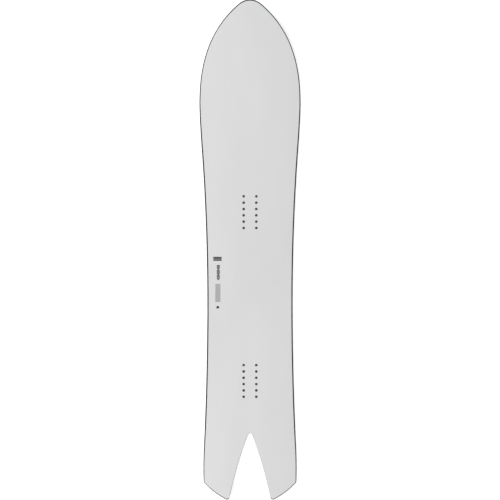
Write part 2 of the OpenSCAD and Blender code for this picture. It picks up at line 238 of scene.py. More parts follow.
def lifted(xy, level, follow=0.0):
    """Points of the flat outline bent with the board and put at a level, square to the running base.
    follow is the share of the core's thinning that the level takes.
    """
    x, y = np.asarray(xy).T
    level = level - follow * thinned(y)
    lean = np.where(y > NOSE_Y, (y - NOSE_Y) / NOSE_R, np.where(y < TAIL_Y, (y - TAIL_Y) / TAIL_R, 0.0))
    radius = np.where(y > 0, NOSE_R, TAIL_R)
    return np.column_stack([x, y - level * lean, radius - (radius - level) * np.sqrt(1 - lean**2)])


def rim_points(run, inset, level, follow=0.0):
    """Points along a run of stations, at an inset and a level."""
    inset = np.broadcast_to(np.asarray(inset, float), (len(run),))
    return lifted(XY[run] + INWARD[run] * inset[:, None], level, follow)


# ---------------------------------------------------------------- making meshes

SHARP = math.radians(35)


def make_piece(name, points, faces, material, slot, stands_for=()):
    """A mesh piece of the object: points in millimetres, smooth but for edges over SHARP."""
    mesh = bpy.data.meshes.new(name)
    mesh.from_pydata([tuple(p) for p in np.asarray(points, float) * MM], [], faces)
    bm = bmesh.new()
    bm.from_mesh(mesh)
    bmesh.ops.remove_doubles(bm, verts=bm.verts[:], dist=1e-6)
    bmesh.ops.dissolve_degenerate(bm, edges=bm.edges[:], dist=1e-7)
    bmesh.ops.recalc_face_normals(bm, faces=bm.faces[:])
    for face in bm.faces:
        face.smooth = True
    for edge in bm.edges:
        edge.smooth = edge.is_manifold and edge.calc_face_angle(0) < SHARP
    bm.to_mesh(mesh)
    bm.free()
    piece = bpy.data.objects.new(name, mesh)
    bpy.context.scene.collection.objects.link(piece)
    mesh.materials.append(material)
    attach(piece, "root")
    if stands_for:
        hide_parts(*stands_for)
    return piece


def sweep(rings):
    """Points and faces of a section carried along. rings holds a run of points for each of its corners."""
    count, around = len(rings[0]), len(rings)
    points = np.stack(rings, axis=1).reshape(-1, 3)
    faces = []
    for i in range(count - 1):
        for j in range(around):
            a, b = i * around + j, i * around + (j + 1) % around
            faces.append((a, b, b + around, a + around))
    faces.append(tuple(range(around)))
    faces.append(tuple((count - 1) * around + j for j in range(around)))
    return points, faces


def flipped(points):
    """The same points on the board's left side."""
    return np.asarray(points) * (-1, 1, 1)


def inside(points, loop):
    """True for each point seen from above that lies within a closed loop."""
    x, y = points[:, 0, None], points[:, 1, None]
    x0, y0 = loop[:, 0], loop[:, 1]
    x1, y1 = np.roll(x0, -1), np.roll(y0, -1)
    rise = np.where(y1 == y0, 1e-12, y1 - y0)
    crosses = ((y0 > y) != (y1 > y)) & (x < x0 + (x1 - x0) * (y - y0) / rise)
    return crosses.sum(axis=1) % 2 == 1


def grid_points(loops, clear=3.0, flat_row=24, bent_row=7, column=20):
    """Points spread over a sheet, closer where the tips rise, and clear of its loops."""
    low, high = loops[0].min(axis=0), loops[0].max(axis=0)
    rows = [low[1]]
    while rows[-1] < high[1]:
        is_flat = TAIL_Y - 10 < rows[-1] < NOSE_Y - 20
        rows.append(rows[-1] + (flat_row if is_flat else bent_row))
    columns = np.linspace(low[0], high[0], max(3, round((high[0] - low[0]) / column)))
    found = np.array([(x, y) for y in rows for x in columns])
    keep = inside(found, loops[0])
    tree = kdtree.KDTree(sum(len(loop) for loop in loops))
    for i, p in enumerate(np.vstack(loops)):
        tree.insert((p[0], p[1], 0), i)
    tree.balance()
    for i in np.nonzero(keep)[0]:
        keep[i] = tree.find((found[i][0], found[i][1], 0))[2] > clear
    for loop in loops[1:]:
        keep &= ~inside(found, loop)
    return found[keep]


def fill(loops):
    """Extra points and the triangles that fill a sheet between its outer loop and its holes."""
    extra = grid_points(loops)
    places = np.vstack(loops + [extra])
    edges, start = [], 0
    for loop in loops:
        edges += [(start + i, start + (i + 1) % len(loop)) for i in range(len(loop))]
        start += len(loop)
    result = geometry.delaunay_2d_cdt([Vector(p) for p in places], edges, [], 0, 1e-5, True)
    source = [ids[0] for ids in result[3]]
    triangles = np.array([[source[v] for v in face] for face in result[2]])
    centres = places[triangles].mean(axis=1)
    keep = inside(centres, loops[0])
    for loop in loops[1:]:
        keep &= ~inside(centres, loop)
    return extra, triangles[keep]


def sheet(loops):
    """Points and faces of a sheet. Each loop is a list of rings that go round the sheet's edge, from inside
    its bottom face to inside its top face. A ring is (points of the flat outline, level, follow).
    """
    extra, triangles = fill([rings[0][0] for rings in loops])
    points, faces, at = [], [], 0
    bottom_ids, top_ids = [], []
    for rings in loops:
        count = len(rings[0][0])
        bottom_ids += range(at, at + count)
        for k, (xy, level, follow) in enumerate(rings):
            points.append(lifted(xy, level, follow))
            for i in range(count if k else 0):
                a, b = at + i, at + (i + 1) % count
                faces.append((a - count, b - count, b, a))
            at += count
        top_ids += range(at - count, at)
    for (xy, level, follow), ids in ((loops[0][0], bottom_ids), (loops[0][-1], top_ids)):
        points.append(lifted(extra, level, follow))
        ids += range(at, at + len(extra))
        at += len(extra)
    for triangle in triangles:
        faces.append(tuple(top_ids[v] for v in triangle))
        faces.append(tuple(bottom_ids[v] for v in triangle[::-1]))
    return np.vstack(points), faces


def whole_loop(values):
    """A closed loop from its right half: mirrors points across the centreline."""
    return np.vstack([values, values[-2:0:-1] * (-1, 1)])


def outline(inset):
    """The board's closed outline at an inset, one number or one for each station."""
    inset = np.broadcast_to(np.asarray(inset, float), (len(XY),))
    return whole_loop(XY + INWARD * inset[:, None])


def straight(start, end, count=16):
    """Points from start up to, but not including, end."""
    return start + (end - start) * (np.arange(count) / count)[:, None]


def circle(centre, radius, count=48):
    """A circle seen from above."""
    turn = np.linspace(0, 2 * math.pi, count, endpoint=False)
    return np.asarray(centre) + radius * np.column_stack([np.cos(turn), np.sin(turn)])


# ---------------------------------------------------------------- materials


class Surface:
    """A node material under construction."""

    def __init__(self, name):
        self.material = bpy.data.materials.new(name)
        self.material.use_nodes = True
        self.tree = self.material.node_tree
        self.bsdf = self.tree.nodes["Principled BSDF"]
        self.place = self.add("ShaderNodeTexCoord").outputs["Object"]

    def add(self, kind, inputs=None, **settings):
        """A new node, with its settings and its inputs: an input is a value or another node's output."""
        node = self.tree.nodes.new(kind)
        for key, value in settings.items():
            setattr(node, key, value)
        for key, value in (inputs or {}).items():
            self.put(node.inputs[key], value)
        return node

    def put(self, socket, value):
        if isinstance(value, bpy.types.NodeSocket):
            self.tree.links.new(value, socket)
        else:
            socket.default_value = value

    def set(self, **values):
        """Sets the main shader's inputs, with _ for a space in an input's name."""
        for key, value in values.items():
            self.put(self.bsdf.inputs[key.replace("_", " ")], value)
        return self

    def math(self, operation, a, b=0.0, c=0.0):
        node = self.add("ShaderNodeMath", operation=operation)
        for socket, value in zip(node.inputs, (a, b, c)):
            self.put(socket, value)
        return node.outputs[0]

    def axes(self):
        """The x, y and z of the place, in millimetres."""
        split = self.add("ShaderNodeSeparateXYZ", {0: self.place})
        return [self.math("DIVIDE", out, MM) for out in split.outputs]

    def scaled(self, x, y, z):
        """The place stretched: each axis is counted in steps of so many millimetres."""
        node = self.add("ShaderNodeMapping", {"Vector": self.place})
        node.inputs["Scale"].default_value = (1 / (x * MM), 1 / (y * MM), 1 / (z * MM))
        return node.outputs[0]

    def noise(self, x, y=None, z=None, detail=3.0, rough=0.55, distortion=0.0):
        """Noise with spots of the given size in millimetres."""
        values = {"Vector": self.scaled(x, y or x, z or y or x), "Scale": 1.0}
        values.update({"Detail": detail, "Roughness": rough, "Distortion": distortion})
        return self.add("ShaderNodeTexNoise", values).outputs[0]

    def between(self, value, low, high, to_low=0.0, to_high=1.0):
        """value moved from one range to another, and held inside it."""
        node = self.add("ShaderNodeMapRange", {0: value, 1: low, 2: high, 3: to_low, 4: to_high})
        return node.outputs[0]

    def blend(self, share, a, b):
        """A colour between a and b."""
        node = self.add("ShaderNodeMix", data_type="RGBA")
        for key, value in ((0, share), (6, a), (7, b)):
            if isinstance(value, tuple) and len(value) == 3:
                value = value + (1.0,)
            self.put(node.inputs[key], value)
        return node.outputs[2]

    def bump(self, value, depth, normal=None):
        """A bump of so many millimetres where value runs from 0 to 1."""
        node = self.add("ShaderNodeBump", {"Height": value, "Distance": depth * MM, "Strength": 1.0})
        if normal is not None:
            self.put(node.inputs["Normal"], normal)
        return node.outputs[0]

    def ridge(self, value, centre, half_width):
        """1 on a line where value equals centre, falling to 0 at half_width away."""
        away = self.math("ABSOLUTE", self.math("SUBTRACT", value, centre))
        return self.between(away, 0.0, half_width, 1.0, 0.0)


def topsheet_surface():
    """Light grey satin nylon: fine grain, a trace of the core's joints and inserts, faint scuffs."""
    s = Surface("topsheet_satin_nylon")
    x, y, _ = s.axes()
    broad = s.noise(160, 420, 160, detail=4)
    grain = s.noise(0.55, 0.55, 0.55, detail=2)
    brushed = s.noise(1.1, 34, 5, detail=3)
    tint = s.blend(s.between(broad, 0.3, 0.7), (0.545, 0.547, 0.55), (0.575, 0.575, 0.573))
    tint = s.blend(s.between(grain, 0.35, 0.75, 0.0, 0.22), tint, (0.50, 0.502, 0.505))
    scuff = s.between(s.noise(0.6, 60, 6, detail=2, distortion=0.4), 0.66, 0.72)
    patch = s.between(s.noise(70, 70, 70, detail=2), 0.5, 0.62)
    scuffed = s.math("MULTIPLY", scuff, patch)
    tint = s.blend(s.math("MULTIPLY", scuffed, 0.35), tint, (0.66, 0.66, 0.66))
    across = s.math("ABSOLUTE", x)
    joints = 0.0
    for node in ("core_centre_stringer", "core_insert_stringer_right", "core_inner_strip_right",
                 "core_middle_strip_right"):
        joints = s.math("MAXIMUM", joints, s.ridge(across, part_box(node)[1].x / MM, 2.2))
    column = s.math("SUBTRACT", across, INSERT_X)
    dips = 0.0
    for row in ROW_STARTS:
        along = s.math("PINGPONG", s.math("SUBTRACT", y, row), ROW_PITCH / 2)
        near = s.math("SQRT", s.math("ADD", s.math("POWER", column, 2), s.math("POWER", along, 2)))
        pack = s.math("LESS_THAN", s.math("ABSOLUTE", s.math("SUBTRACT", y, row + 2.5 * ROW_PITCH)),
                      3 * ROW_PITCH)
        dips = s.math("MAXIMUM", dips, s.math("MULTIPLY", s.between(near, 3.5, 8.5, 1.0, 0.0), pack))
    normal = s.bump(joints, -0.012)
    normal = s.bump(dips, -0.05, normal)
    normal = s.bump(s.noise(26, 60, 26, detail=2), 0.03, normal)
    normal = s.bump(grain, 0.010, normal)
    normal = s.bump(brushed, 0.006, normal)
    rough = s.between(s.noise(45, 80, 45, detail=4), 0.3, 0.7, 0.42, 0.53)
    rough = s.math("SUBTRACT", rough, s.math("MULTIPLY", scuffed, 0.12))
    s.set(Base_Color=tint, Roughness=rough, Normal=normal, IOR=1.5, Specular_IOR_Level=0.2)
    return s.material


def base_surface():
    """Red sintered polyethylene, stone-ground along the board and waxed."""
    s = Surface("base_sintered_red")
    x, y, _ = s.axes()
    speck = s.noise(0.35, 0.5, 0.35, detail=2)
    flow = s.noise(60, 300, 60, detail=3)
    tint = s.blend(s.between(flow, 0.3, 0.7), (0.50, 0.0012, 0.003), (0.565, 0.002, 0.0045))
    tint = s.blend(s.between(speck, 0.55, 0.75, 0.0, 0.3), tint, (0.62, 0.012, 0.012))
    lines = s.math("PINGPONG", s.math("ADD", x, s.math("MULTIPLY", s.noise(8, 140, 8), 1.2)), 0.4)
    lines = s.between(lines, 0.0, 0.4)
    slant = s.math("ADD", x, s.math("MULTIPLY", y, 0.09))
    cross = s.between(s.math("PINGPONG", slant, 0.8), 0.0, 0.8)
    broken = s.between(s.noise(1.2, 26, 1.2, detail=4), 0.35, 0.65)
    structure = s.math("MULTIPLY", s.math("ADD", lines, s.math("MULTIPLY", cross, 0.4)), broken)
    normal = s.bump(structure, 0.016)
    normal = s.bump(speck, 0.004, normal)
    rough = s.between(s.noise(30, 90, 30, detail=4), 0.3, 0.7, 0.24, 0.36)
    s.set(Base_Color=tint, Roughness=rough, Normal=normal, IOR=1.51, Specular_IOR_Level=0.15)
    return s.material


def ground_metal(name, colour, rough, mark, slant):
    """Metal ground across its length: mark is the width of the grinding marks."""
    s = Surface(name)
    x, y, z = s.axes()
    tilted = s.add("ShaderNodeCombineXYZ", {0: s.math("ADD", x, s.math("MULTIPLY", y, slant)), 1: y, 2: z})
    wide = s.add("ShaderNodeMapping", {"Vector": tilted.outputs[0]})
    wide.inputs["Scale"].default_value = (0.06, 1 / mark, 0.4)
    marks = s.add("ShaderNodeTexNoise", {"Vector": wide.outputs[0], "Scale": 1.0, "Detail": 4.0}).outputs[0]
    film = s.noise(18, 40, 18, detail=4)
    dull = tuple(0.72 * c for c in colour)
    tint = s.blend(s.between(marks, 0.35, 0.7), colour, dull)
    tint = s.blend(s.between(film, 0.55, 0.75, 0.0, 0.35), tint, tuple(0.6 * c for c in colour))
    fine = s.between(marks, 0.3, 0.7, rough - 0.06, rough + 0.08)
    s.set(Base_Color=tint, Metallic=1.0, Roughness=fine, Normal=s.bump(marks, 0.004))
    return s.material


def milled_plastic(name, colour, rough, mark=0.35):
    """ABS with the marks of a cutter that ran along the board."""
    s = Surface(name)
    cuts = s.noise(30, 30, mark, detail=3)
    chatter = s.noise(mark * 3, mark * 3, 20, detail=2)
    speck = s.noise(0.9, 0.9, 0.9, detail=3)
    pale = tuple(1.2 * c + 0.006 for c in colour)
    tint = s.blend(s.between(cuts, 0.4, 0.72), colour, pale)
    tint = s.blend(s.between(speck, 0.55, 0.75, 0.0, 0.25), tint, tuple(0.8 * c for c in colour))
    normal = s.bump(cuts, 0.02)
    normal = s.bump(chatter, 0.008, normal)
    shine = s.between(speck, 0.3, 0.7, rough - 0.05, rough + 0.09)
    s.set(Base_Color=tint, Roughness=shine, Normal=normal, IOR=1.53, Specular_IOR_Level=0.1)
    return s.material


def glass_laminate_surface(name, pitch):
    """Woven glass cloth in epoxy: two sets of rovings that cross at the given pitch."""
    s = Surface(name)
    x, y, _ = s.axes()
    half = pitch / 2
    warp = s.between(s.math("PINGPONG", x, half), 0.0, half)
    weft = s.between(s.math("PINGPONG", y, half), 0.0, half)
    over = s.math("COMPARE", s.math("PINGPONG", s.math("ADD", s.math("FLOOR", s.math("DIVIDE", x, pitch)),
                  s.math("FLOOR", s.math("DIVIDE", y, pitch))), 1.0), 1.0, 0.5)
    cloth = s.add("ShaderNodeMix", {0: over, 2: warp, 3: weft}).outputs[0]
    strand = s.noise(0.12, 2.2, 0.12, detail=2)
    tint = s.blend(cloth, (0.08, 0.09, 0.07), (0.15, 0.16, 0.125))
    tint = s.blend(s.between(strand, 0.4, 0.7, 0.0, 0.3), tint, (0.22, 0.235, 0.19))
    tint = s.blend(s.between(s.noise(30, 50, 30), 0.4, 0.7, 0.0, 0.3), tint, (0.1, 0.1, 0.065))
    normal = s.bump(cloth, 0.05)
    normal = s.bump(strand, 0.01, normal)
    rough = s.between(strand, 0.3, 0.7, 0.26, 0.42)
    s.set(Base_Color=tint, Roughness=rough, Normal=normal, IOR=1.54, Specular_IOR_Level=0.3)
    return s.material


def wood_surface(name, early, late, ring, drift):
    """Straight-grained wood along the board: ring is the growth rings' width, drift shifts the pattern."""
    s = Surface(name)
    x, _, z = s.axes()
    wander = s.math("MULTIPLY", s.noise(40, 420, 40, detail=3), ring * 5)
    count = s.math("DIVIDE", s.math("ADD", s.math("ADD", x, wander), s.math("MULTIPLY", z, 0.7)), ring)
    phase = s.math("FRACT", s.math("ADD", count, drift))
    rings = s.math("POWER", phase, 2.4)
    fibre = s.noise(0.25, 14, 0.25, detail=3)
    pores = s.between(s.noise(0.35, 5.5, 0.35, detail=2), 0.62, 0.72)
    tint = s.blend(rings, early, late)
    tint = s.blend(s.between(fibre, 0.3, 0.7, 0.0, 0.35), tint, tuple(0.8 * c for c in early))
    tint = s.blend(s.math("MULTIPLY", pores, 0.55), tint, tuple(0.45 * c for c in late))
    normal = s.bump(fibre, 0.03)
    normal = s.bump(pores, -0.04, normal)
    rough = s.between(fibre, 0.3, 0.7, 0.55, 0.75)
    s.set(Base_Color=tint, Roughness=rough, Normal=normal, IOR=1.45)
    return s.material


def rubber_surface():
    """Thin black damping rubber with a fine cloth print."""
    s = Surface("edge_rubber_black")
    x, y, _ = s.axes()
    print_x = s.between(s.math("PINGPONG", x, 0.35), 0.0, 0.35)
    print_y = s.between(s.math("PINGPONG", y, 0.35), 0.0, 0.35)
    print_in = s.math("MULTIPLY", print_x, print_y)
    dust = s.between(s.noise(4, 9, 4, detail=4), 0.5, 0.75, 0.0, 0.4)
    tint = s.blend(dust, (0.016, 0.016, 0.017), (0.05, 0.05, 0.048))
    rough = s.between(dust, 0.0, 0.4, 0.7, 0.88)
    s.set(Base_Color=tint, Roughness=rough, Normal=s.bump(print_in, 0.02), IOR=1.5)
    return s.material


def insert_surface(name, row):
    """Turned steel, coloured dark grey as painted shade for the recessed insert holes, with rings round the
    axis of each insert in the pack that starts at row.
    """
    s = Surface(name)
    x, y, z = s.axes()
    column = s.math("SUBTRACT", s.math("ABSOLUTE", x), INSERT_X)
    along = s.math("PINGPONG", s.math("SUBTRACT", y, row), ROW_PITCH / 2)
    away = s.math("SQRT", s.math("ADD", s.math("POWER", column, 2), s.math("POWER", along, 2)))
    turned = s.between(s.math("PINGPONG", s.math("ADD", away, s.math("MULTIPLY", z, 0.6)), 0.06), 0.0, 0.06)
    stain = s.noise(3, 3, 3, detail=3)
    # The steel's dark greys are painted shade that stands in for the shade inside the recessed holes
    tint = s.blend(turned, (0.11, 0.11, 0.112), (0.17, 0.17, 0.172))
    tint = s.blend(s.between(stain, 0.5, 0.75, 0.0, 0.5), tint, (0.07, 0.068, 0.066))
    rough = s.between(stain, 0.3, 0.7, 0.28, 0.46)
    s.set(Base_Color=tint, Metallic=1.0, Roughness=rough, Normal=s.bump(turned, 0.006))
    return s.material


def ink_surface(name, colour):
    """Screen ink with a trace of mesh."""
    s = Surface(name)
    x, y, _ = s.axes()
    mesh_x = s.between(s.math("PINGPONG", x, 0.15), 0.0, 0.15)
    mesh_y = s.between(s.math("PINGPONG", y, 0.15), 0.0, 0.15)
    screen = s.math("MULTIPLY", mesh_x, mesh_y)
    spread = s.noise(1.5, 1.5, 1.5, detail=4)
    tint = s.blend(s.between(spread, 0.35, 0.7), colour, tuple(1.2 * c + 0.006 for c in colour))
    s.set(Base_Color=tint, Roughness=s.between(spread, 0.3, 0.7, 0.34, 0.46), Normal=s.bump(screen, 0.004))
    return s.material


# ---------------------------------------------------------------- inserts and holes

insert_tops = node_points("inserts_front")
insert_tops = insert_tops[insert_tops[:, 2] > insert_tops[:, 2].max() - 0.01]
right_tops = insert_tops[insert_tops[:, 0] > 0]
INSERT_X = (right_tops[:, 0].min() + right_tops[:, 0].max()) / 2
outermost = right_tops[right_tops[:, 0] > right_tops[:, 0].max() - 0.01]
FRONT_ROWS = distinct(outermost[:, 1], 1)
ROW_PITCH = FRONT_ROWS[1] - FRONT_ROWS[0]
REAR_ROWS = [-row for row in reversed(FRONT_ROWS)]
ROW_STARTS = (FRONT_ROWS[0], REAR_ROWS[0])
HOLES = [(side * INSERT_X, row) for row in REAR_ROWS + FRONT_ROWS for side in (-1, 1)]
FLANGE_LOW, FLANGE_TOP, BORE_LOW, BARREL_TOP = flat_levels("inserts_front", reach=400)


def radii_round(node, reach=9.9):
    """Radii at which a node has corners round the axis of the first front insert."""
    away = np.linalg.norm(node_points(node)[:, :2] - (INSERT_X, FRONT_ROWS[0]), axis=1)
    return distinct(away[away < reach])


BORE_R, BARREL_R, FLANGE_R = radii_round("inserts_front")
TOPSHEET_HOLE_R = radii_round("topsheet")[0]
THREAD_PITCH = 1.0
THREAD_DEPTH = 0.54
MOUTH_CHAMFER = 0.7
DRILLED_BOTTOM = 0.5
THREAD_RUNOUT = 0.8


def thread_ring(z, turn):
    """Radii of the bore at a level: the thread climbs a pitch in each turn and fades out near the bottom."""
    place = np.mod((z - BORE_LOW) / THREAD_PITCH - turn / (2 * math.pi), 1)
    groove = np.clip((1 - np.abs(2 * place - 1) - 0.12) / 0.76, 0, 1)
    fade = np.clip((z - BORE_LOW - DRILLED_BOTTOM) / THREAD_RUNOUT, 0, 1)
    mouth = BORE_R + MOUTH_CHAMFER - (BARREL_TOP - z)
    return np.maximum(BORE_R + THREAD_DEPTH * groove * fade, mouth)


def insert_shape(place, around=40, rows=54):
    """Rings of one insert: flange, barrel with its top rim, threaded bore and drilled bottom."""
    turn = np.linspace(0, 2 * math.pi, around, endpoint=False)
    soft = 0.12
    outside = [
        (0.5, FLANGE_LOW),
        (FLANGE_R - soft, FLANGE_LOW),
        (FLANGE_R, FLANGE_LOW + soft),
        (FLANGE_R, FLANGE_TOP - soft),
        (FLANGE_R - soft, FLANGE_TOP),
        (BARREL_R, FLANGE_TOP),
        (BARREL_R, BARREL_TOP - soft),
        (BARREL_R - soft, BARREL_TOP),
    ]
    rings = [(np.full(around, r), z) for r, z in outside]
    rings += [(thread_ring(z, turn), z) for z in np.linspace(BARREL_TOP, BORE_LOW + DRILLED_BOTTOM, rows)]
    rings.append((np.full(around, 0.2), BORE_LOW))
    flat = np.column_stack([np.cos(turn), np.sin(turn)])
    return [np.column_stack([place + flat * r[:, None], np.full(around, z)]) for r, z in rings]


def insert_pack(node, rows):
    """All inserts of one pack as a single piece."""
    points, faces = [], []
    for row in rows:
        for side in (-1, 1):
            rings = insert_shape(np.array([side * INSERT_X, row]))
            start, around = sum(len(p) for p in points), len(rings[0])
            points += rings
            for k in range(len(rings) - 1):
                for i in range(around):
                    a, b = start + k * around + i, start + k * around + (i + 1) % around
                    faces.append((a, b, b + around, a + around))
            faces.append(tuple(range(start, start + around)))
            faces.append(tuple(range(start + (len(rings) - 1) * around, start + len(rings) * around)))
    steel = insert_surface(node.replace("inserts", "insert_steel"), rows[0])
    return make_piece(f"shown_{node}", np.vstack(points), faces, steel, "insert_steel", [node])


# ---------------------------------------------------------------- rim pieces


def run_of(first, last):
    """Station numbers from first to last."""
    return np.arange(first, last + 1)


def rounded(before, corner, after, steps=4):
    """Section points (inset, share) that round a corner from before to after."""
    return [
        tuple((1 - u) ** 2 * a + 2 * u * (1 - u) * b + u * u * c for a, b, c in zip(before, corner, after))
        for u in np.linspace(0, 1, steps + 1)
    ]


def wall_rings(run, shape):
    """Rings of a piece between the laminates. shape holds (inset, share of the height between them)."""
    height = WALL_HIGH - WALL_LOW
    return [rim_points(run, inset, WALL_LOW + share * height, share) for inset, share in shape]


def bevelled(run, inner):
    """Section of a rim piece: upright up to BEND, then leaning in to the top laminate's edge."""
    top, foot = RIM[run], FOOT[run]
    shape = [(foot + 0.1, 0.0), (inner, 0.0), (inner, 1.0), (top + 0.05, 1.0), (top, 0.98)]
    over = (foot + 0.14 / (1 - BEND) * (top - foot), BEND + 0.14)
    shape += rounded(over, (foot, BEND), (foot, BEND - 0.12))
    shape.append((foot, 0.03))
    return shape


def steel_section():
    """The steel edge's section (inset, level): a ground working corner, softened others and the flange."""
    low, flange_low, flange_top, top = EDGE_LEVELS
    outer, width, flange = EDGE_INSETS
    section = [(outer, low + 0.1), (outer + 0.04, low + 0.03), (outer + 0.12, low), (width - 0.06, low)]
    section += [(width, low + 0.06), (width, flange_low), (flange - 0.05, flange_low)]
    section += [(flange, flange_low + 0.05), (flange, flange_top - 0.05)]
    section += [(flange - 0.05, flange_top), (width + 0.08, flange_top)]
    section += [(width, flange_top + 0.05), (width, top - 0.02), (width - 0.03, top)]
    section += [(outer + 0.1, top), (outer + 0.03, top - 0.03), (outer, top - 0.1)]
    return section


def both_sides(node, rings, material, slot, part=""):
    """The right piece and its mirror image, which stand for node_right and node_left."""
    for side, copy in (("right", rings), ("left", [flipped(ring) for ring in rings])):
        make_piece(f"shown_{node}_{part}{side}", *sweep(copy), material, slot, [f"{node}_{side}"])


def line_beside(run, start, end):
    """Points on a straight line, shared out like the stations of a run."""
    steps = np.linalg.norm(np.diff(XY[run], axis=0), axis=1)
    share = np.concatenate([[0], np.cumsum(steps)]) / steps.sum()
    return start + (end - start) * share[:, None]


# ---------------------------------------------------------------- sheets

EDGE_W = EDGE_INSETS[1]
TOPSHEET_IN = (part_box("top_laminate")[1].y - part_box("topsheet")[1].y) / MM
base_corner = XY[END_FROM] + EDGE_W * INWARD[END_FROM]
base_point = XY[NOTCH_FROM]
base_line = (base_point - base_corner) / np.linalg.norm(base_point - base_corner)
POINT_STEP = np.linalg.solve([[base_line[1], -base_line[0]], INWARD[NOTCH_FROM]], [1, 1])


def base_outline(extra):
    """The running base's closed outline: inside the steel edges, straight at the tail protectors."""
    edge = XY[: END_FROM + 1] + (EDGE_W + extra) * INWARD[: END_FROM + 1]
    point = base_point + extra * POINT_STEP
    notch = XY[NOTCH_FROM + 1 :] + extra * INWARD[NOTCH_FROM + 1 :]
    return whole_loop(np.vstack([edge[:-1], straight(edge[-1], point), [point], notch]))


def edge_profile(low, high, bottom, top, follow=0.0, margin=0.6):
    """(inset, level, follow) round a sheet's edge. bottom and top are the radii of its two corners."""
    turns = np.linspace(0, math.pi / 2, 5)
    under = [(bottom * (1 - math.sin(t)), low + bottom * (1 - math.cos(t)), follow) for t in turns]
    over = [(top * (1 - math.cos(t)), high - top * (1 - math.sin(t)), follow) for t in turns]
    inner = max(bottom, top) + margin
    return [(inner, low, follow)] + under + over + [(inner, high, follow)]


def skin(node, loop_at, profile, material, slot, hole_r=0.0, hole_profile=()):
    """A sheet piece that stands for a node, with the insert holes if hole_r is given."""
    loops = [[(loop_at(inset), level, follow) for inset, level, follow in profile]]
    for place in HOLES if hole_r else ():
        rings = [(circle(place, hole_r + inset), level, follow) for inset, level, follow in hole_profile]
        loops.append(rings)
    return make_piece(f"shown_{node}", *sheet(loops), material, slot, [node])


def lapped_outline(inset):
    """The bottom laminate's outline. The room for the edge's flange ends at the tail's outer corner."""
    return outline(np.where(np.arange(len(XY)) > END_FROM, FOOT + max(0.0, inset - GLASS_IN), inset))


# ---------------------------------------------------------------- printed marks

INK_THICK = 0.03
INK_SUNK = 0.01


def bar(x, y, width, length, corner):
    """Outline of a rounded rectangle round a centre."""
    points = []
    for k, (sx, sy) in enumerate(((1, 1), (-1, 1), (-1, -1), (1, -1))):
        middle = (x + sx * (width / 2 - corner), y + sy * (length / 2 - corner))
        for t in np.linspace(k * math.pi / 2, (k + 1) * math.pi / 2, 5):
            points.append((middle[0] + corner * math.cos(t), middle[1] + corner * math.sin(t)))
    return np.array(points)


def print_marks(name, outlines, material):
    """Ink shapes on the flat part of the topsheet."""
    points, faces = [], []
    for shape in outlines:
        start, count = sum(len(p) for p in points), len(shape)
        for z in (TOPSHEET_TOP - INK_SUNK, TOPSHEET_TOP + INK_THICK):
            points.append(np.column_stack([shape, np.full(count, z)]))
        faces.append(tuple(range(start, start + count)))
        faces.append(tuple(range(start + count, start + 2 * count)))
        for i in range(count):
            a, b = start + i, start + (i + 1) % count
            faces.append((a, b, b + count, a + count))
    return make_piece(name, np.vstack(points), faces, material, "topsheet")


# ---------------------------------------------------------------- the object

STEEL = ground_metal("edge_steel_ground", (0.19, 0.193, 0.20), 0.36, 0.35, 0.25)
# The tail protector is one aluminium part: its slope gets this much darker copy of the metal as painted
# shade
SHADED_PROTECTOR_SLOPE = ground_metal("tail_metal_painted_shade", (0.16, 0.16, 0.165), 0.42, 0.4, 0.5)
PROTECTOR_METAL = ground_metal("tail_metal_satin", (0.72, 0.72, 0.71), 0.34, 0.5, 0.5)
BLACK_ABS = milled_plastic("sidewall_black", (0.008, 0.008, 0.009), 0.55)
DARK_GREY_ABS = milled_plastic("tail_dark_grey", (0.10, 0.102, 0.105), 0.5)
GREY_ABS = milled_plastic("notch_grey", (0.34, 0.343, 0.348), 0.5)
LOWER_GLASS = glass_laminate_surface("glass_lower", 1.6)
UPPER_GLASS = glass_laminate_surface("glass_upper", 1.3)

EDGE_RUN = run_of(0, END_FROM)
WALL_RUN = run_of(WALL_FROM, END_FROM)
TAIL_RUN = run_of(END_FROM, NOTCH_FROM)
NOTCH_RUN = run_of(NOTCH_FROM, LAST)

base = skin("base", base_outline, edge_profile(BASE_LOW, BASE_TOP, 0.15, 0.05), base_surface(), "base")
# Keeps a red cast off the studio paper
base.visible_diffuse = False

steel_rings = [rim_points(EDGE_RUN, inset, level) for inset, level in steel_section()]
both_sides("steel_edge", steel_rings, STEEL, "edge_steel")

inner_line = line_beside(TAIL_RUN, base_corner, base_point)
rim_line = XY[TAIL_RUN]
bend_line = (inner_line + rim_line) / 2
flat_rings = [
    lifted(inner_line, BASE_LOW),
    lifted(bend_line, BASE_LOW),
    lifted(bend_line, BASE_TOP),
    lifted(inner_line, BASE_TOP),
]
# The slope's section: how far it is from the bend to the rim, and the share of the base's thickness
slope_section = ((0, 0), (0.1, 0.03), (0.92, 0.56), (1, 0.68), (1, 0.93), (0.98, 1), (0, 1))
slope_rings = [lifted(bend_line + out * (rim_line - bend_line), up * BASE_TOP) for out, up in slope_section]
both_sides("tail_protector", flat_rings, PROTECTOR_METAL, "tail_metal")
# The slope piece takes the darkened copy of the protector's metal: painted shade
both_sides("tail_protector", slope_rings, SHADED_PROTECTOR_SLOPE, "tail_metal", part="slope_")

glass_profile = [
    (GLASS_IN + 0.6, GLASS_LOW, 0),
    (GLASS_IN, GLASS_LOW, 0),
    (GLASS_IN, LAP, 0),
    (STEP_IN, LAP, 0),
    (STEP_IN, GLASS_TOP, 0),
    (GLASS_IN + 0.6, GLASS_TOP, 0),
]
skin("bottom_laminate", lapped_outline, glass_profile, LOWER_GLASS, "glass_laminate")

sidewall_rings = wall_rings(WALL_RUN, bevelled(WALL_RUN, WALL_W))
both_sides("sidewall", sidewall_rings, BLACK_ABS, "sidewall_plastic")

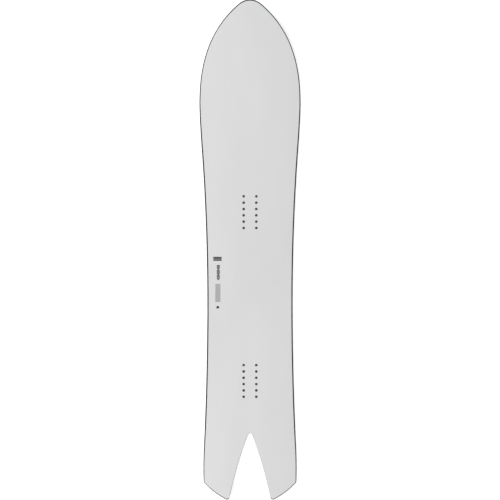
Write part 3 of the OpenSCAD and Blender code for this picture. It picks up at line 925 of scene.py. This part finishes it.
nose_run = run_of(0, WALL_FROM)
right_half = wall_rings(nose_run, bevelled(nose_run, WALL_W))
nose_rings = [np.vstack([ring[::-1], flipped(ring[1:])]) for ring in right_half]
make_piece("shown_nose_spacer", *sweep(nose_rings), BLACK_ABS, "sidewall_plastic", ["nose_spacer"])

block_line = line_beside(
    TAIL_RUN, XY[END_FROM] + WALL_W * INWARD[END_FROM], XY[NOTCH_FROM] + LINER_W * INWARD[NOTCH_FROM])
block_rings = wall_rings(TAIL_RUN, bevelled(TAIL_RUN, WALL_W))
block_rings[1] = lifted(block_line, WALL_LOW, 0)
block_rings[2] = lifted(block_line, WALL_HIGH, 1)
both_sides("tail_block", block_rings, DARK_GREY_ABS, "tail_plastic")
liner_rings = wall_rings(NOTCH_RUN, bevelled(NOTCH_RUN, LINER_W))
both_sides("notch_liner", liner_rings, GREY_ABS, "notch_plastic")

glass_edge = edge_profile(CORE_TOP, UPPER_GLASS_TOP, 0.05, 0.05, 1)
skin("top_laminate", lambda inset: outline(RIM + inset), glass_edge, UPPER_GLASS, "glass_laminate",
     BARREL_R, glass_edge)

top_edge = edge_profile(UPPER_GLASS_TOP, TOPSHEET_TOP, 0.05, 0.3, 1)
hole_edge = edge_profile(UPPER_GLASS_TOP, TOPSHEET_TOP, 0.02, 0.16, 1, margin=0.4)
skin("topsheet", lambda inset: outline(RIM + TOPSHEET_IN + inset), top_edge, topsheet_surface(), "topsheet",
     TOPSHEET_HOLE_R, hole_edge)

insert_pack("inserts_front", FRONT_ROWS)
insert_pack("inserts_rear", REAR_ROWS)

DARK_INK = ink_surface("ink_dark", (0.012, 0.012, 0.013))
GREY_INK = ink_surface("ink_grey", (0.17, 0.17, 0.172))
stripes = [bar(-103, 119.4 + 4.4 * k, 27, 3.7, 1.4) for k in (-1, 0, 1)]
ticks = [bar(-100.2, 98 - 4 * k, 6 if k % 4 == 3 else 10, 3.1, 0.8) for k in range(12)]
hatch = [bar(-101.6, 38.6 - 3.2 * k, 16.4, 1.9, 0.6) for k in range(18)]
print_marks("shown_mark_stripes", stripes, DARK_INK)
print_marks("shown_mark_ticks", ticks, DARK_INK)
print_marks("shown_mark_hatch", hatch, GREY_INK)
print_marks("shown_mark_dot", [circle((-102, -34), 4.3)], ink_surface("ink_black", (0.008, 0.008, 0.008)))

# Early wood, late wood and the width of a growth ring
POPLAR = ((0.62, 0.49, 0.30), (0.42, 0.29, 0.15), 2.6)
ASH = ((0.55, 0.37, 0.21), (0.36, 0.21, 0.11), 1.7)
woods = {
    "core_centre_stringer": ASH,
    "core_insert_stringer_left": ASH,
    "core_insert_stringer_right": ASH,
    "core_inner_strip_left": POPLAR,
    "core_inner_strip_right": POPLAR,
    "core_middle_strip_left": POPLAR,
    "core_middle_strip_right": POPLAR,
    "core_outer_strip_left": POPLAR,
    "core_outer_strip_right": POPLAR,
}
hidden_surfaces = {}
for k, (node, wood) in enumerate(woods.items()):
    hidden_surfaces[node] = wood_surface(f"wood_{node}", *wood, drift=0.37 * k)
rubber = rubber_surface()
mat = glass_laminate_surface("insert_mat_cloth", 0.9)
hidden_surfaces.update({"edge_foil_left": rubber, "edge_foil_right": rubber})
hidden_surfaces.update({"insert_mat_front": mat, "insert_mat_rear": mat})
for node, surface in hidden_surfaces.items():
    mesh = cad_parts[node].data
    mesh.materials.clear()
    mesh.materials.append(surface)

# ---------------------------------------------------------------- stage


def floor_surface():
    """Pale matt studio paper, lit a little from below."""
    s = Surface("studio_paper")
    tone = s.between(s.noise(900, 900, 900, detail=3), 0.3, 0.7)
    tooth = s.noise(1.5, 1.5, 1.5, detail=2)
    s.set(Base_Color=s.blend(tone, (0.80, 0.80, 0.80), (0.815, 0.815, 0.815)), Roughness=0.95)
    s.set(Normal=s.bump(tooth, 0.01), Specular_IOR_Level=0.1)
    s.set(Emission_Color=(1, 1, 1, 1), Emission_Strength=0.42)
    return s.material


def area_light(name, place, target, size, power, colour):
    """A soft panel that faces its target: size is its width across and along the board."""
    data = bpy.data.lights.new(name, "AREA")
    data.shape = "RECTANGLE"
    data.size, data.size_y = size
    data.energy = power
    data.color = colour
    light = bpy.data.objects.new(name, data)
    light.location = place
    light.rotation_euler = (Vector(target) - Vector(place)).to_track_quat("-Z", "Y").to_euler()
    bpy.context.scene.collection.objects.link(light)


FLOOR_RADIUS = 40000
FLOOR_LEVEL = -0.4
floor = bpy.data.meshes.new("studio_floor")
floor_rim = circle((0, 0), FLOOR_RADIUS, 96)
floor.from_pydata([(x * MM, y * MM, FLOOR_LEVEL * MM) for x, y in floor_rim], [], [tuple(range(96))])
floor.materials.append(floor_surface())
floor_object = bpy.data.objects.new("studio_floor", floor)
bpy.context.scene.collection.objects.link(floor_object)

MIDDLE = (0.0, (NOSE_TIP + TAIL_TIP) / 2 * MM, 0.0)
for name, y, aim in (("key_nose", 1.3, 0.75), ("key_tail", -1.0, -0.45)):
    area_light(name, (-1.15, y, 1.15), (0.0, aim, 0.0), (0.9, 0.6), 13, (1.0, 0.997, 0.99))
area_light("fill", (2.6, MIDDLE[1], 2.4), MIDDLE, (2.0, 2.6), 4, (0.99, 0.995, 1.0))


def studio_world():
    """A pale surround: white at the horizon, like the paper, and dim in a small part of the ceiling."""
    world = bpy.data.worlds.new("studio")
    bpy.context.scene.world = world
    world.use_nodes = True
    tree = world.node_tree
    up = tree.nodes.new("ShaderNodeSeparateXYZ")
    tree.links.new(tree.nodes.new("ShaderNodeTexCoord").outputs["Generated"], up.inputs[0])
    ramp = tree.nodes.new("ShaderNodeValToRGB")
    ramp.color_ramp.elements[0].color = (1.0, 1.0, 1.0, 1)
    ramp.color_ramp.elements[1].color = (0.276, 0.276, 0.276, 1)
    for place, tone in ((0.12, 0.875), (0.4, 0.92), (0.93, 0.92)):
        ramp.color_ramp.elements.new(place).color = (tone, tone, tone, 1)
    tree.links.new(up.outputs[2], ramp.inputs[0])
    tree.links.new(ramp.outputs[0], tree.nodes["Background"].inputs["Color"])
    tree.nodes["Background"].inputs["Strength"].default_value = 1.0


studio_world()
bpy.context.scene.view_settings.view_transform = "Standard"

# What the picture takes in from side to side, and the camera's place, in metres
PICTURE_SPAN = 1.587
CAMERA_Y = 0.1473
CAMERA_UP = 2.9
lens = bpy.data.cameras.new("camera")
lens.sensor_width = 36
lens.lens = lens.sensor_width * CAMERA_UP / PICTURE_SPAN
lens.clip_start = 0.02
camera = bpy.data.objects.new("camera", lens)
camera.location = (0, CAMERA_Y, CAMERA_UP)
bpy.context.scene.collection.objects.link(camera)
bpy.context.scene.camera = camera
